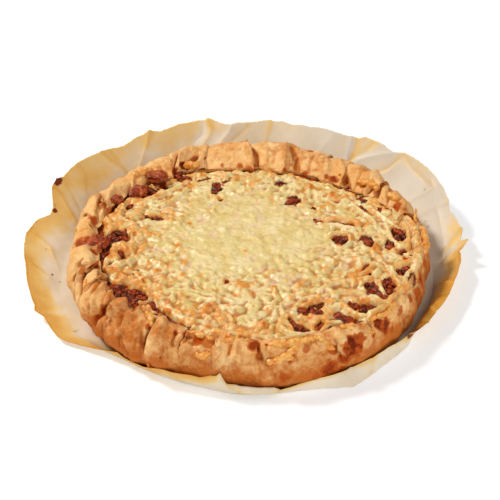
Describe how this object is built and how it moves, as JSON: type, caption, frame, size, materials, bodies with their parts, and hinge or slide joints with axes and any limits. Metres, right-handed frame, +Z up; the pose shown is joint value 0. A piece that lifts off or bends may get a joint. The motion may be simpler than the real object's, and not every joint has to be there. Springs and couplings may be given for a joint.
{
  "type": "quiche",
  "caption": "Round savoury pie with a pleated, folded crust rim, melted cheese over a minced meat filling, on a sheet of baking paper.",
  "frame": {"origin": "on the pie's axis, on the underside of the paper that it rests on", "axes": "+Z up, -Y to the front of the side that is looked at, +X to its right"},
  "size_m": [0.34, 0.318, 0.0414],
  "materials": {
    "crust": "baked shortcrust, matt, golden brown with darker stains",
    "filling": "minced meat in sauce, dark red-brown and glossy",
    "cheese": "melted cheese, pale yellow with toasted orange spots, satin",
    "meat": "browned lumps of meat, satin",
    "paper": "baking parchment, matt, browned towards its edge"
  },
  "bodies": {
    "root": {"crust": "crust", "filling": "filling", "cheese": "cheese", "meat_lump_1": "meat", "meat_lump_2": "meat", "meat_lump_3": "meat", "meat_lump_4": "meat", "paper": "paper"}
  },
  "joints": []
}
